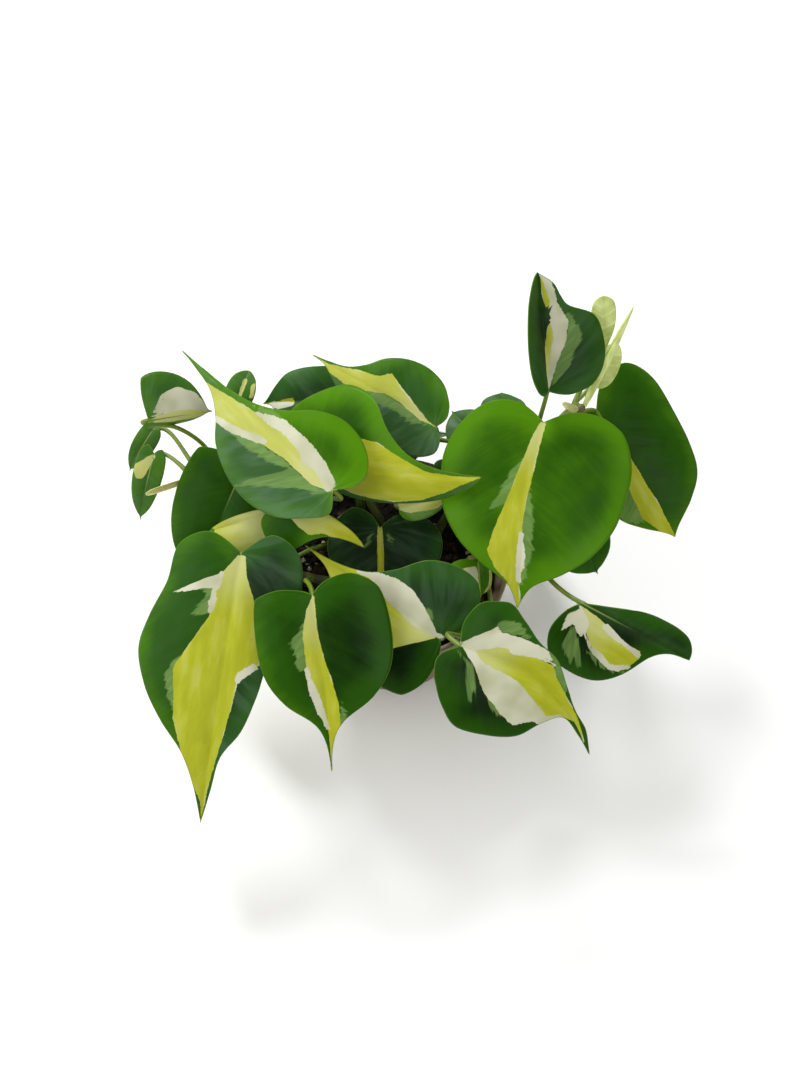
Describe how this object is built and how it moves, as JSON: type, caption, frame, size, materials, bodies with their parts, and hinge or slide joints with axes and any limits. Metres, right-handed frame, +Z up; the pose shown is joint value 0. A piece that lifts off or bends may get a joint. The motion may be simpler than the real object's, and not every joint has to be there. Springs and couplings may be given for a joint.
{
  "type": "potted cream splash philodendron",
  "caption": "Heart-leaf philodendron with lime and cream splashed green leaves that arch and hang over the rim of a plain round nursery pot.",
  "frame": {"origin": "centre of the pot's flat underside, on the surface it stands on", "axes": "+Z up along the pot's axis, -Y toward the side the two largest hanging leaves face, +X to the right seen from there"},
  "size_m": [0.2469, 0.1894, 0.1631],
  "materials": {
    "pot": "satin",
    "soil": "matte",
    "stem": "satin",
    "blade": "satin",
    "young": "satin",
    "sheath": "matte"
  },
  "bodies": {
    "root": {"pot": "pot", "soil": "soil", "stem_right_back": "stem", "stem_front_right": "stem", "stem_front_left": "stem", "stem_left": "stem", "stem_middle": "stem", "stem_back_left": "stem", "stem_back": "stem", "stem_right": "stem", "leaf_01_front_left": "blade", "leaf_02_front_heart": "blade", "leaf_03_front_splash": "blade", "leaf_04_front_right": "blade", "leaf_05_right_heart": "blade", "leaf_06_right_hanging": "blade", "leaf_07_upright": "blade", "leaf_08_left_large": "blade", "leaf_09_middle_lime": "blade", "leaf_10_back_lime": "blade", "leaf_11_back_dark": "blade", "leaf_12_left_dark": "blade", "leaf_13_low_middle": "blade", "leaf_14_under_left": "blade", "leaf_15_small_lime": "blade", "leaf_16_young_curled": "blade", "leaf_17_right_low": "blade", "leaf_18_far_left": "blade", "leaf_19_far_left_hanging": "blade", "leaf_20_far_left_low": "blade", "leaf_21_back_left_small": "blade", "leaf_22_back_small": "blade", "leaf_23_back_right_small": "blade", "leaf_24_right_under": "blade", "leaf_25_middle_low": "blade", "leaf_26_middle_back": "blade", "leaf_27_young_upright": "young", "leaf_28_young_side": "young", "leaf_29_back_hanging": "blade", "leaf_30_back_left_hanging": "blade", "leaf_31_back_right_hanging": "blade", "leaf_32_right_side_hanging": "blade", "leaf_33_left_side_hanging": "blade", "leaf_34_front_low_left": "blade", "leaf_35_front_low_right": "blade", "sheath_left": "sheath", "sheath_right_back": "sheath", "new_leaf_rolled": "young"}
  },
  "joints": []
}
